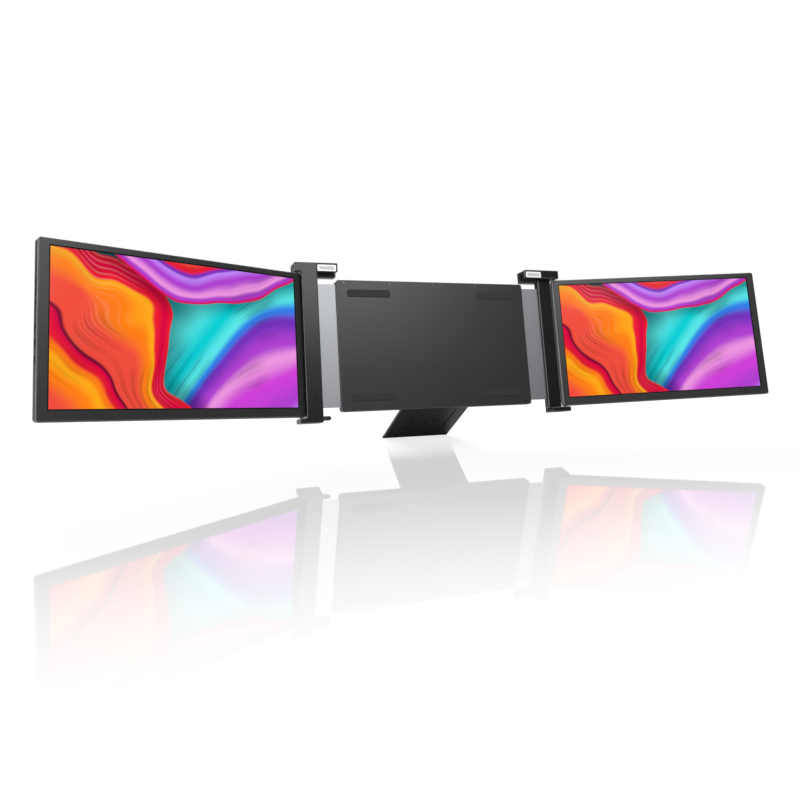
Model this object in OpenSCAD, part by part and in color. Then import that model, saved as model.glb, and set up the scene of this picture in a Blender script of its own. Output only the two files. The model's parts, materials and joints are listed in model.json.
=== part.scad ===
// Laptop screen extender: two side screens on brackets that slide in a hub behind the lid.
// Millimetres. +Z is up, +Y points away from the user, and the origin is the middle of the
// laptop lid's top edge, on its front side. Everything is laid out on an upright lid, whose
// front is the plane y = 0, and leaned() then tips it back by lean.

/* [Laptop lid] */
// Thickness of the lid that the clips go over
lid_t = 6.0; // [4:0.1:8]
// How far the lid leans back from upright, in degrees
lean = 12.2; // [0:0.1:40]

/* [Screens] */
// Width of the lit area
view_w = 293.8; // [240:0.1:355]
// Height of the lit area
view_h = 165.2; // [135:0.1:200]
// Frame above the lit area
rim_top = 7.9; // [6:0.1:12]
// Frame below the lit area
rim_bottom = 12.1; // [9:0.1:20]
// Frame at the free end
rim_outer = 11.6; // [11:0.1:16]
// Frame at the hinge end
rim_inner = 11.2; // [10.4:0.1:16]
// Thickness of a screen
screen_t = 10.0; // [9.4:0.1:14]
// Corner radius of a screen, seen from the front
screen_corner = 4.8; // [4:0.1:6]
// Radius of a screen's long soft edges
screen_edge = 2.0; // [0.5:0.1:2.4]
// Wall of the rear cover along the screen's sides
side_wall = 1.6; // [1.2:0.1:2]
// Wall of the rear cover's back
back_wall = 1.4; // [1:0.1:1.6]
// Forward fold of the left screen, in degrees from flat
left_fold = 22.2; // [-90:0.1:90]
// Forward fold of the right screen, in degrees from flat
right_fold = 15.6; // [-90:0.1:90]

/* [Brackets] */
// Width of a bracket's upright beam
beam_w = 21.1; // [18:0.1:28]
// Depth of a bracket, front to back
bracket_t = 22.0; // [19:0.1:28]
// Wall of the bracket shell
bracket_wall = 2.0; // [1.8:0.1:2.6]
// Radius of a bracket's corners, seen from the front
bracket_corner = 2.2; // [2:0.1:3]
// Radius of a bracket's soft edges
bracket_edge = 1.6; // [0.6:0.1:1.9]
// How far the left beam's front stands back from its head and foot
left_set_back = 0; // [0:0.1:10.5]
// How far the right beam's front stands back from its head and foot
right_set_back = 10.5; // [0:0.1:10.5]
// Height of the foot, which is the bottom lug
foot_h = 6.9; // [5:0.1:10]
// Gap between a screen's round edge and the beam
hinge_gap = 0.4; // [0.3:0.1:3]
// From the bracket's front face back to the hinge pin
hinge_back = 10.2; // [8:0.1:12]
// Material left in a lug past the hinge pin
lug_end = 3.8; // [3.6:0.1:6]
// Diameter of a hinge pin
pin_d = 2.5; // [2:0.1:2.8]
// Height of a clip's bar above the lid
clip_bar_h = 6.6; // [4:0.1:8]
// How far a clip reaches in from the beam
clip_reach = 27.5; // [20:0.1:40]
// How far the head and its clip hang over the front of the lid
clip_overlap = 5.0; // [4:0.1:7]
// Thickness of a clip's front lip
lip_t = 4.0; // [3:0.1:6]
// How far a clip reaches down behind the lid
clip_back_drop = 10.0; // [6:0.1:11]
// How far a bottom hook reaches in from the beam
hook_reach = 9.5; // [6:0.1:14]
// Height of a bottom hook
hook_h = 5.5; // [4:0.1:6]
// How far the left hook's top stands above the foot
left_hook_rise = 1.1; // [0:0.1:3]
// How far the right hook's top stands above the foot
right_hook_rise = 0; // [0:0.1:3]

/* [Hub] */
// Width of the hub behind the lid
hub_w = 280; // [230:1:340]
// Thickness of the hub
hub_t = 12; // [11.8:0.1:14]
// Corner radius of the hub, seen from behind
hub_corner = 5; // [3:0.1:8]
// From the lid's top edge down to the hub
hub_drop = 12; // [11.5:0.1:20]
// From the brackets' lower end up to the hub
hub_lift = 13; // [10:0.1:20]
// How far each bracket is drawn out of the hub
draw_out = 27; // [6:1:60]
// How much further in each bracket can go
travel_in = 21; // [0:1:26]
// How much further out each bracket can go
travel_out = 33; // [0:1:40]
// Thickness of a slide plate
slide_t = 1.5; // [1:0.1:2]

/* [Kickstand] */
// Width of the kickstand's leg
leg_w = 100; // [60:1:130]
// Length of the leg, from its pin to the sole
leg_len = 104.8; // [70:0.1:125]
// Thickness of the leg
leg_t = 3.5; // [3:0.1:3.6]
// How far the leg is open, in degrees from folded away
leg_open = 113.3; // [0:0.1:124]
// Angle from upright at which the leg's sole lies flat, in degrees
sole_angle = 125.5; // [110:0.1:140]

/* [Fits] */
// Gap between pieces that lie beside each other
gap = 0.1; // [0.05:0.01:0.2]
// Radial clearance of a turning pin
run_gap = 0.05; // [0.02:0.01:0.1]
// Clearance on each side of a slide plate
slide_gap = 0.05; // [0.03:0.01:0.1]

/* [Hidden] */
$fn = 64;
cut = 1; // how far a cutting shape runs past the face that it opens

// Colours
shell_grey = [0.27, 0.27, 0.28];
cover_black = [0.12, 0.12, 0.13];
steel = [0.72, 0.73, 0.75];
soft_black = [0.09, 0.09, 0.09];
plate_silver = [0.9, 0.9, 0.91];
board_green = [0.05, 0.3, 0.16];

// Lid slot: y = 0 is the lid's front, and thin grips line the slot
front_grip_t = 0.5;
back_grip_t = 1.0;
top_grip_t = 0.8;
slot_y0 = -front_grip_t;
slot_y1 = lid_t + 0.5 + back_grip_t;

// Bracket, seen on the right-hand side
bracket_y0 = slot_y0 - lip_t;
bracket_y1 = bracket_y0 + bracket_t;
beam_x0 = hub_w / 2 + draw_out;
beam_x1 = beam_x0 + beam_w;
clip_x0 = beam_x0 - clip_reach;
pin_x = beam_x1 + hinge_gap + screen_t / 2;
pin_y = bracket_y0 + hinge_back;
pin_r = pin_d / 2;
lug_x1 = pin_x + lug_end;
bracket_z1 = top_grip_t + clip_bar_h;
top_lug_z0 = -clip_overlap;
washer_top_t = 0.8;
washer_bottom_t = 0.9;
screen_z1 = top_lug_z0 - washer_top_t - gap;
screen_z0 = screen_z1 - rim_top - view_h - rim_bottom;
bottom_lug_z1 = screen_z0 - washer_bottom_t - gap;
bracket_z0 = bottom_lug_z1 - foot_h;
lug_cove = screen_edge + 0.8; // keeps clear of a screen's corner at every fold
cover_t = 1.8;
cover_seat = 0.8;
cover_y0 = bracket_y1 - cover_t;
pin_seat = 2.0; // lug left above the blind pin hole

// Bottom hook: a finger that runs into the foot, and a narrower tongue pressed in behind it
hook_y0 = bracket_y0 + 0.4;
hook_y1 = slot_y0;
hook_edge = 1.0;
hook_seat = 2.0; // how far the finger itself runs into the foot
hook_root = 8.0; // how far the tongue runs in
hook_tongue = 1.0; // how much narrower the tongue is on each side

// Clip trim, an inlay in the clip's front, and the plate that lies in it
trim_x0 = clip_x0 + 1.0;
trim_x1 = beam_x0 + 1.7;
trim_z0 = top_lug_z0 + 0.4;
trim_z1 = bracket_z1 - 0.9;
trim_t = 1.4;
trim_corner = 1.2;
plate_x0 = clip_x0 + 2.6;
plate_x1 = beam_x0 - 0.2;
plate_z0 = trim_z0 + 0.6;
plate_z1 = trim_z1 - 2.1;
plate_t = 0.8;
plate_proud = 0.15;
plate_corner = 1.3;

// Hub: cover, rails with the slide plates, then the kickstand pocket behind them
hub_x1 = hub_w / 2;
hub_z1 = -hub_drop;
hub_z0 = bracket_z0 + hub_lift;
hub_y0 = slot_y1;
hub_y1 = hub_y0 + hub_t;
hub_wall = 2.0;
hub_edge = 1.5;
hub_cover_t = 1.5;
rail_y0 = hub_y0 + hub_cover_t;
rail_t = 4.0;
rail_h = 8;
groove_d = 4;
rail_x1 = hub_x1 - hub_corner - 1;
slide_y0 = rail_y0 + (rail_t - slide_t) / 2;
slide_y1 = slide_y0 + slide_t;
slide_z0 = hub_z0 + hub_wall + rail_h - groove_d + gap;
slide_z1 = hub_z1 - hub_wall - rail_h + groove_d - gap;
slide_x0 = travel_in + 5;
slide_x1 = beam_x1 - bracket_wall - 2.4;
stop_x = hub_x1 - 40;
stop_z = (hub_z0 + hub_z1) / 2;
stop_r = 2;

// Kickstand and its pocket
pocket_floor_t = 1.6;
pocket_y0 = rail_y0 + rail_t + pocket_floor_t;
pocket_gap = 0.5;
leg_x1 = leg_w / 2;
knuckle_r = 2.2;
leg_pin_r = 1.0;
leg_pin_y = hub_y1 - 2.5;
leg_pin_z = hub_z0 + 8;
pocket_x1 = leg_x1 + pocket_gap;
pocket_z0 = leg_pin_z - 4.5;
pocket_z1 = leg_pin_z + leg_len + 4;
sole_h = 6;
tongue_h = 4;
leg_end = leg_len - sole_h;

// Screen, in its own frame: the pin is the origin, x runs outwards and y backwards
edge_x0 = -screen_t / 2;
view_x0 = edge_x0 + rim_inner;
view_x1 = view_x0 + view_w;
edge_x1 = view_x1 + rim_outer;
view_z1 = screen_z1 - rim_top;
view_z0 = view_z1 - view_h;
face_y = -screen_t / 2;
back_y = screen_t / 2;
bezel_t = 1.8;
bezel_lip_t = 1.0;
split_y = face_y + bezel_t;
glass_y0 = face_y + bezel_lip_t;
glass_t = 1.6;
glass_lap = 2.0;
window_gap = 0.8;
tray_y0 = glass_y0 + glass_t;
tray_t = 2.0;
tray_y1 = tray_y0 + tray_t;
board_gap = 1.4;
board_y0 = tray_y1 + board_gap;
board_t = 1.0;
board_y1 = board_y0 + board_t;
inside_y1 = back_y - back_wall;
end_wall = 0.85;
round_r = screen_t / 2;
outer_wall_x = edge_x1 - 2.0;

// Hinge inside the screen
block_h = 28;
block_leaf_w = 16;
pin_in_screen = 20;
collar_r = 3.0;
washer_r = 2.3;

// Board, ports and buttons at the free end
board_x0 = view_x1 - 36;
button_w = 6;
button_t = 2.6;
button_y = -0.4;
button_proud = 0.6;
button_travel = 0.4;
button_flange = 1.0;
button_fit = 0.15;
flange_x1 = outer_wall_x - gap;
flange_x0 = flange_x1 - button_flange;
plunger_x1 = flange_x0 - button_travel - gap;
board_x1 = plunger_x1 - 0.2;
power_z = screen_z1 - 45;
button_pitch = 11;
up_z = power_z - button_pitch;
down_z = up_z - button_pitch;
port_w = 8.9;
port_t = 3.2;
port_l = 7.4;
port_wall = 0.3;
port_z = screen_z1 - 92;
port_pitch = 16;
port_y = board_y0 - port_t / 2;
port_x1 = edge_x1 - 0.8;
board_z1 = power_z + 12;
board_z0 = port_z - 2 * port_pitch - 10;

// Screws that join bezel and rear cover
screw_r = 0.8;
screw_head_r = 1.6;
screw_head_h = 0.9;
post_r = 2.2;
post_inset_x = 5.2;
post_inset_z = 5.6;
screw_posts = [
    [edge_x1 - post_inset_x, screen_z1 - post_inset_z],
    [edge_x1 - post_inset_x, screen_z0 + post_inset_z],
    [edge_x1 - (edge_x1 - edge_x0) / 3, screen_z0 + post_inset_z],
    [edge_x1 - (edge_x1 - edge_x0) * 2 / 3, screen_z0 + post_inset_z]
];

// Screws of the bracket
beam_mid = (beam_x0 + beam_x1) / 2;
cover_screw_z = [bracket_z0 + 9, bracket_z1 - 14.5];
plate_screw_z = [slide_z0 + 28, stop_z, slide_z1 - 28];
plate_screw_l = 5; // reach of a plate screw in front of the slide plate, where the beam is deep enough
screw_skin = 0.8; // wall left in front of a blind screw hole
screw_spare = 0.4; // how much deeper the hole is than the screw
function plate_screw_y0(back) = max(slide_y0 - plate_screw_l, bracket_y0 + back + screw_skin + screw_spare);

// ---- Shared shapes ----

module box(x0, x1, y0, y1, z0, z1) {
    translate([x0, y0, z0])
        cube([x1 - x0, y1 - y0, z1 - z0]);
}

module round_rect(x0, x1, y0, y1, r) {
    translate([x0 + r, y0])
        square([x1 - x0 - 2 * r, y1 - y0]);
    translate([x0, y0 + r])
        square([x1 - x0, y1 - y0 - 2 * r]);
    for (x = [x0 + r, x1 - r])
        for (y = [y0 + r, y1 - r])
            translate([x, y])
                circle(r);
}

// A plate that stands in the XZ plane, between two depths
module front_plate(x0, x1, y0, y1, z0, z1, r) {
    translate([0, y1, 0])
        rotate([90, 0, 0])
            linear_extrude(y1 - y0)
                round_rect(x0, x1, z0, z1, r);
}

// A bar that runs along X, with its outline in the YZ plane
module long_bar(x0, x1, y0, y1, z0, z1, r) {
    translate([x0, 0, 0])
        rotate([90, 0, 90])
            linear_extrude(x1 - x0)
                round_rect(y0, y1, z0, z1, r);
}

// A column that runs along Z, with its outline in the XY plane
module column(x0, x1, y0, y1, z0, z1, r) {
    translate([0, 0, z0])
        linear_extrude(z1 - z0)
            round_rect(x0, x1, y0, y1, r);
}

// A block with corners of one radius, seen from the front, and edges of a smaller one
module soft_block(x0, x1, y0, y1, z0, z1, corner, edge) {
    intersection() {
        front_plate(x0, x1, y0, y1, z0, z1, corner);
        long_bar(x0, x1, y0, y1, z0, z1, edge);
        column(x0, x1, y0, y1, z0, z1, edge);
    }
}

module rod_x(x0, x1, y, z, r) {
    translate([x0, y, z])
        rotate([0, 90, 0])
            cylinder(h = x1 - x0, r = r);
}

module rod_y(x, z, y0, y1, r) {
    translate([x, y1, z])
        rotate([90, 0, 0])
            cylinder(h = y1 - y0, r = r);
}

module rod_z(x, y, z0, z1, r) {
    translate([x, y, z0])
        cylinder(h = z1 - z0, r = r);
}

// A screw along Y whose head is at the back: the shank goes from y0 to the head
module back_screw(x, z, y0, y1, r, head_r, head_h) {
    difference() {
        union() {
            rod_y(x, z, y0, y1 - head_h + 0.01, r);
            rod_y(x, z, y1 - head_h, y1, head_r);
        }
        for (a = [0, 90])
            translate([x, y1, z])
                rotate([0, a, 0])
                    cube([head_r * 1.2, head_h, head_r * 0.28], center = true);
    }
}

// The same screw with its head at the front
module front_screw(x, z, y0, y1, r, head_r, head_h) {
    translate([x, 0, z])
        rotate([0, 0, 180])
            back_screw(0, 0, -y1, -y0, r, head_r, head_h);
}

// ---- Where things stand ----

module leaned() {
    rotate([-lean, 0, 0])
        children();
}

module on_side(side) {
    leaned()
        mirror([side < 0 ? 1 : 0, 0, 0])
            children();
}

module on_screen(side) {
    on_side(side)
        translate([pin_x, pin_y, 0])
            rotate([0, 0, -(side < 0 ? left_fold : right_fold)])
                children();
}

module on_leg() {
    leaned()
        translate([0, leg_pin_y, leg_pin_z])
            rotate([-leg_open, 0, 0])
                children();
}

// ---- Hub ----

module hub_form(y0, y1) {
    intersection() {
        front_plate(-hub_x1, hub_x1, y0, y1, hub_z0, hub_z1, hub_corner);
        long_bar(-hub_x1, hub_x1, hub_y0, hub_y1, hub_z0, hub_z1, hub_edge);
        column(-hub_x1, hub_x1, hub_y0, hub_y1, hub_z0, hub_z1, hub_edge);
    }
}

module slide_opening(x0, x1) {
    box(x0, x1, slide_y0 - slide_gap, slide_y1 + slide_gap, slide_z0 - gap, slide_z1 + gap);
}

module hub_shell() {
    inner_x1 = hub_x1 - hub_wall;
    inner_y1 = hub_y1 - hub_wall;
    inner_z0 = hub_z0 + hub_wall;
    inner_z1 = hub_z1 - hub_wall;
    inner_r = hub_corner - hub_wall;
    color(cover_black)
        difference() {
            union() {
                difference() {
                    hub_form(rail_y0, hub_y1);
                    front_plate(-inner_x1, inner_x1, rail_y0 - cut, inner_y1, inner_z0, inner_z1, inner_r);
                }
                box(-pocket_x1 - hub_wall, pocket_x1 + hub_wall, pocket_y0 - pocket_floor_t, inner_y1 + 0.5,
                    inner_z0 - 0.5, pocket_z1 + hub_wall);
                for (x = [-stop_x, stop_x])
                    rod_y(x, stop_z, rail_y0, inner_y1 + 0.5, stop_r);
            }
            front_plate(-pocket_x1, pocket_x1, pocket_y0, hub_y1 + cut, pocket_z0, pocket_z1, 2);
            rod_y(0, pocket_z1, leg_pin_y, hub_y1 + cut, 9);
            rod_x(-pocket_x1 - hub_wall - cut, pocket_x1 + hub_wall + cut, leg_pin_y, leg_pin_z,
                leg_pin_r + 0.01);
            for (s = [-1, 1])
                slide_opening(s > 0 ? inner_x1 - cut : -hub_x1 - cut, s > 0 ? hub_x1 + cut : -inner_x1 + cut);
        }
}

module hub_screw_places() {
    for (z = [hub_z0 + hub_wall + 2, hub_z1 - hub_wall - 2])
        for (i = [-2:2])
            translate([i * (rail_x1 - 5) / 2, 0, z])
                children();
}

module hub_cover() {
    color(shell_grey)
        difference() {
            hub_form(hub_y0, rail_y0);
            hub_screw_places() {
                rod_y(0, 0, hub_y0 - cut, rail_y0 + cut, 1.0 + gap);
                rod_y(0, 0, hub_y0 - cut, hub_y0 + 0.9, 1.9 + gap);
            }
        }
}

module guide_rails() {
    color(steel)
        for (top = [0, 1]) {
            z0 = top ? hub_z1 - hub_wall - rail_h : hub_z0 + hub_wall;
            groove_z0 = top ? z0 - cut : z0 + rail_h - groove_d;
            groove_z1 = top ? z0 + groove_d : z0 + rail_h + cut;
            difference() {
                box(-rail_x1, rail_x1, rail_y0, rail_y0 + rail_t, z0, z0 + rail_h);
                box(-rail_x1 - cut, rail_x1 + cut, slide_y0 - slide_gap, slide_y1 + slide_gap,
                    groove_z0, groove_z1);
                hub_screw_places()
                    rod_y(0, 0, rail_y0 - cut, rail_y0 + rail_t + cut, 1.0 + 0.02);
            }
        }
}

// A bowed strip that presses on a slide plate and rests on the hub's back wall
module slide_spring() {
    rise = hub_y1 - hub_wall - slide_y1 - 0.1;
    half = 24;
    strip_t = 0.4;
    bow_r = (half * half + rise * rise) / (2 * rise);
    translate([stop_x - 38, hub_y1 - hub_wall - rise + bow_r - 0.05, stop_z - 6])
        intersection() {
            difference() {
                cylinder(h = 12, r = bow_r, $fn = 128);
                translate([0, 0, -cut])
                    cylinder(h = 12 + 2 * cut, r = bow_r - strip_t, $fn = 128);
            }
            box(-half, half, -bow_r - cut, rise - bow_r, -cut, 12 + cut);
        }
}

module slide_springs() {
    color(steel)
        for (s = [0, 1])
            for (dz = [-40, 40])
                mirror([s, 0, 0])
                    translate([20, 0, dz])
                        slide_spring();
}

module lid_pads() {
    pad_w = 60;
    pad_h = 10;
    color(soft_black)
        for (x = [-95, 95])
            for (z = [hub_z0 + 18, hub_z1 - 18])
                front_plate(x - pad_w / 2, x + pad_w / 2, hub_y0 - back_grip_t, hub_y0,
                    z - pad_h / 2, z + pad_h / 2, 3);
}

module hub_screws() {
    color(steel)
        hub_screw_places()
            front_screw(0, 0, hub_y0 + 0.1, rail_y0 + rail_t, 1.0, 1.9, 0.8);
}

// ---- Kickstand: the leg lies along Z from its pin, its outer side faces +Y ----

module kickstand_leg() {
    finger_r = 12;
    on_leg()
        color(shell_grey)
            difference() {
                union() {
                    rod_x(-leg_x1, leg_x1, 0, 0, knuckle_r);
                    front_plate(-leg_x1, leg_x1, -leg_t / 2, leg_t / 2, 0, leg_end, 1.0);
                }
                rod_x(-leg_x1 - cut, leg_x1 + cut, 0, 0, leg_pin_r + run_gap);
                box(-leg_x1 + 12, leg_x1 - 12, -0.75 - gap, 0.75 + gap, leg_end - tongue_h - gap,
                    leg_end + cut);
                for (x = [-leg_x1 + 16, leg_x1 - 26])
                    front_plate(x, x + 10, leg_t / 2 - 0.8, leg_t / 2 + cut, 16, leg_end - 14, 4.99);
                rod_y(0, leg_end / 2, leg_t / 2 - 0.8, leg_t / 2 + cut, finger_r);
            }
}

module kickstand_foot() {
    on_leg()
        color(soft_black)
            difference() {
                union() {
                    box(-leg_x1, leg_x1, -leg_t / 2, leg_t / 2, leg_end, leg_len + 5);
                    box(-leg_x1 + 12 + gap, leg_x1 - 12 - gap, -0.75, 0.75, leg_end - tongue_h,
                        leg_end + cut);
                }
                translate([0, 0, leg_len])
                    rotate([sole_angle, 0, 0])
                        box(-leg_w, leg_w, -50, 50, -100, 0);
            }
}

module kickstand_pin() {
    leaned()
        color(steel)
            rod_x(-pocket_x1 - hub_wall, pocket_x1 + hub_wall, leg_pin_y, leg_pin_z, leg_pin_r);
}

// ---- Bracket, right-hand side: the beam's front stands back by a set-back of its own ----

module bracket_form(back) {
    e = bracket_edge;
    union() {
        column(beam_x0, beam_x1, bracket_y0 + back, bracket_y1, bracket_z0 + e, bracket_z1 - e, e);
        // head, with the clip's bar
        soft_block(clip_x0, lug_x1, bracket_y0, bracket_y1, top_lug_z0, bracket_z1, bracket_corner, e);
        // foot
        soft_block(beam_x0, lug_x1, bracket_y0, bracket_y1, bracket_z0, bottom_lug_z1, bracket_corner, e);
        // the clip's leg behind the lid
        intersection() {
            soft_block(clip_x0, beam_x1, bracket_y0, bracket_y1, -clip_back_drop, bracket_z1,
                bracket_corner, e);
            box(clip_x0, beam_mid, slot_y1, bracket_y1, -clip_back_drop, bracket_z1 - e);
        }
        lug_fillet(top_lug_z0, -1, bracket_y0 + back);
        lug_fillet(bottom_lug_z1, 1, bracket_y0 + back);
    }
}

// The hollow curve between the beam's outer face and a lug, with its front and back edges rounded
module lug_fillet(z, up, y0) {
    r = lug_cove;
    e = bracket_edge;
    difference() {
        box(beam_x1 - e, beam_x1 + r, y0, bracket_y1, up > 0 ? z - e : z - r, up > 0 ? z + r : z + e);
        translate([beam_x1 + r, bracket_y1, z + up * r])
            rotate([90, 0, 0])
                rotate_extrude()
                    spool_outline(r, e, bracket_y1 - y0);
    }
}

// Half of a spool's outline: a barrel of radius r that flares out by e at both ends
module spool_outline(r, e, length) {
    translate([0, -cut])
        square([r, length + 2 * cut]);
    for (end = [0, 1])
        translate([0, end * length])
            mirror([0, end])
                difference() {
                    translate([0, -cut])
                        square([r + e, e + cut]);
                    translate([r + e, e])
                        circle(e);
                }
}

// The bottom hook's finger and its tongue, each larger by grow
module hook_form(rise, grow) {
    z1 = bottom_lug_z1 + rise;
    z0 = z1 - hook_h;
    t = hook_tongue;
    g = grow;
    intersection() {
        front_plate(beam_x0 - hook_reach - g, beam_x0 + hook_reach, hook_y0 - g, hook_y1 + g, z0 - g, z1 + g,
            hook_h / 2 + g - 0.01);
        long_bar(beam_x0 - hook_reach - g, beam_x0 + hook_seat + g, hook_y0 - g, hook_y1 + g, z0 - g, z1 + g,
            hook_edge + g);
    }
    box(beam_x0, beam_x0 + hook_root + g, hook_y0 + t - g, hook_y1 - t + g, z0 + t - g, z1 - t + g);
}

// The room inside a bracket: the beam's, the head's and the back cover's seat, less the bosses
module bracket_room(back, rise) {
    w = bracket_wall;
    seat = w - cover_seat;
    difference() {
        union() {
            box(beam_x0 + w, beam_x1 - w, bracket_y0 + back + w, bracket_y1 + cut, bracket_z0 + w,
                bracket_z1 - w);
            box(beam_x0 + w, beam_x1 - w, bracket_y0 + w, bracket_y1 + cut, top_lug_z0 + w, bracket_z1 - w);
            box(beam_x0 + seat, beam_x1 - seat, cover_y0, bracket_y1 + cut, bracket_z0 + seat,
                bracket_z1 - seat);
        }
        // round the bottom hook's tongue
        box(beam_x0, beam_x0 + hook_root + w, bracket_y0, hook_y1 + w, bracket_z0, bottom_lug_z1 + rise + w);
        for (z = cover_screw_z)
            rod_y(beam_mid, z, bracket_y0, cover_y0, 3.2);
        for (z = plate_screw_z)
            rod_y(beam_mid, z, bracket_y0, slide_y0, 3.2);
    }
}

module bracket_shell(back, rise) {
    w = bracket_wall;
    color(shell_grey)
        difference() {
            bracket_form(back);
            bracket_room(back, rise);
            // slot for the lid
            box(clip_x0 - cut, beam_x0, slot_y0, slot_y1, -clip_back_drop - cut, top_grip_t);
            trim_form(gap, trim_t + gap);
            slide_opening(beam_x0 - cut, beam_x0 + w + cut);
            hook_form(rise, gap);
            // hinge pin holes and screw holes
            rod_z(pin_x, pin_y, top_lug_z0 - cut, bracket_z1 - pin_seat, pin_r + 0.01);
            rod_z(pin_x, pin_y, bracket_z0 + pin_seat, bottom_lug_z1 + cut, pin_r + 0.01);
            for (z = cover_screw_z)
                rod_y(beam_mid, z, cover_y0 - 7, bracket_y1, 1.02);
            for (z = plate_screw_z)
                rod_y(beam_mid, z, plate_screw_y0(back) - screw_spare, bracket_y1, 1.02);
        }
}

module bracket_cover() {
    d = bracket_wall - cover_seat + gap;
    color(cover_black)
        difference() {
            front_plate(beam_x0 + d, beam_x1 - d, cover_y0, bracket_y1, bracket_z0 + d, bracket_z1 - d, 0.5);
            for (z = cover_screw_z) {
                rod_y(beam_mid, z, cover_y0 - cut, bracket_y1 + cut, 1.0 + gap);
                rod_y(beam_mid, z, bracket_y1 - 0.9, bracket_y1 + cut, 1.9 + gap);
            }
        }
}

module bracket_screws(back) {
    color(steel) {
        for (z = cover_screw_z)
            back_screw(beam_mid, z, cover_y0 - 5, bracket_y1 - 0.1, 1.0, 1.9, 0.8);
        for (z = plate_screw_z)
            back_screw(beam_mid, z, plate_screw_y0(back), slide_y1 + 0.8, 1.0, 2.4, 0.8);
    }
}

module slide_plate() {
    slot_r = stop_r + gap;
    color(steel)
        difference() {
            box(slide_x0, slide_x1, slide_y0, slide_y1, slide_z0, slide_z1);
            front_plate(stop_x - travel_out - slot_r, stop_x + travel_in + slot_r, slide_y0 - cut,
                slide_y1 + cut, stop_z - slot_r, stop_z + slot_r, slot_r - 0.001);
            for (z = plate_screw_z)
                rod_y(beam_mid, z, slide_y0 - cut, slide_y1 + cut, 1.0 + gap);
        }
}

module trim_form(grow, t) {
    front_plate(trim_x0 - grow, trim_x1 + grow, bracket_y0 - cut, bracket_y0 + t, trim_z0 - grow,
        trim_z1 + grow, trim_corner + grow);
}

module plate_form(grow, y0, y1) {
    front_plate(plate_x0 - grow, plate_x1 + grow, y0, y1, plate_z0 - grow, plate_z1 + grow,
        plate_corner + grow);
}

module clip_trim() {
    color(soft_black)
        difference() {
            intersection() {
                bracket_form(0);
                trim_form(0, trim_t);
            }
            plate_form(gap, bracket_y0 - cut, bracket_y0 + plate_t);
        }
}

module clip_plate() {
    color(plate_silver)
        plate_form(0, bracket_y0 - plate_proud, bracket_y0 + plate_t);
}

module lid_grips(rise) {
    x0 = clip_x0 + 2;
    x1 = beam_x0 - 2;
    hook_z1 = bottom_lug_z1 + rise;
    color(soft_black) {
        box(x0, x1, 0.5, slot_y1 - back_grip_t - 0.5, 0, top_grip_t);
        box(x0, x1, slot_y0, 0, top_lug_z0 + bracket_edge, -0.4);
        box(x0, x1, slot_y1 - back_grip_t, slot_y1, -clip_back_drop + 0.5, -0.4);
        box(beam_x0 - hook_reach + 1.5, beam_x0 - 0.5, slot_y0, 0, hook_z1 - hook_h + hook_edge,
            hook_z1 - hook_edge);
    }
}

module bottom_hook(rise) {
    color(cover_black)
        hook_form(rise, 0);
}

module top_pin() {
    color(steel)
        rod_z(pin_x, pin_y, screen_z1 - side_wall - pin_in_screen, bracket_z1 - pin_seat, pin_r);
}

module bottom_pin() {
    color(steel)
        rod_z(pin_x, pin_y, bracket_z0 + pin_seat, screen_z0 + side_wall + pin_in_screen, pin_r);
}

// ---- Screen, in its own frame ----

module screen_form() {
    intersection() {
        front_plate(edge_x0, edge_x1, face_y, back_y, screen_z0, screen_z1, screen_corner);
        long_bar(edge_x0, edge_x1, face_y, back_y, screen_z0, screen_z1, screen_edge);
        union() {
            column(0, edge_x1, face_y, back_y, screen_z0, screen_z1, screen_edge);
            box(0, screen_edge + cut, face_y, back_y, screen_z0, screen_z1);
            rod_z(0, 0, screen_z0, screen_z1, round_r);
        }
    }
}

module window(grow, y0, y1) {
    box(view_x0 - grow, view_x1 + grow, y0, y1, view_z0 - grow, view_z1 + grow);
}

module bezel() {
    post_y1 = inside_y1;
    color(shell_grey)
        difference() {
            union() {
                intersection() {
                    screen_form();
                    box(edge_x0 - cut, edge_x1 + cut, face_y - cut, split_y, screen_z0 - cut,
                        screen_z1 + cut);
                }
                for (p = screw_posts)
                    rod_y(p[0], p[1], split_y - 0.5, post_y1, post_r);
            }
            window(window_gap, face_y - cut, split_y + cut);
            window(glass_lap + gap, glass_y0, split_y + cut);
            for (p = screw_posts)
                rod_y(p[0], p[1], split_y + 0.4, post_y1 + cut, screw_r + 0.02);
        }
}

module rear_cover() {
    w = side_wall;
    color(shell_grey)
        difference() {
            union() {
                difference() {
                    intersection() {
                        screen_form();
                        box(edge_x0 - cut, edge_x1 + cut, split_y, back_y + cut, screen_z0 - cut,
                            screen_z1 + cut);
                    }
                    // room inside
                    box(0, outer_wall_x, split_y - cut, inside_y1, screen_z0 + w, screen_z1 - w);
                    intersection() {
                        rod_z(0, 0, screen_z0 + w, screen_z1 - w, round_r - end_wall);
                        box(edge_x0, cut, split_y - cut, inside_y1, screen_z0 + w, screen_z1 - w);
                    }
                }
                // collars round the hinge pins
                rod_z(0, 0, screen_z0, screen_z0 + w, collar_r);
                rod_z(0, 0, screen_z1 - w, screen_z1, collar_r);
                // rests of the driver board
                for (z = [board_z0 + 5, (board_z0 + board_z1) / 2, board_z1 - 5])
                    rod_y(board_x0 + 6, z, board_y1, inside_y1 + 0.5, 2);
            }
            rod_z(0, 0, screen_z0 - cut, screen_z1 + cut, pin_r + 0.3);
            for (p = screw_posts) {
                rod_y(p[0], p[1], inside_y1 - cut, back_y + cut, screw_r + gap);
                rod_y(p[0], p[1], back_y - screw_head_h - 0.1, back_y + cut, screw_head_r + gap);
            }
            for (z = [power_z, up_z, down_z])
                button_hole(z);
            for (i = [0:2])
                port_form(i, button_fit, outer_wall_x - cut, edge_x1 + cut);
            vents();
        }
}

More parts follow.
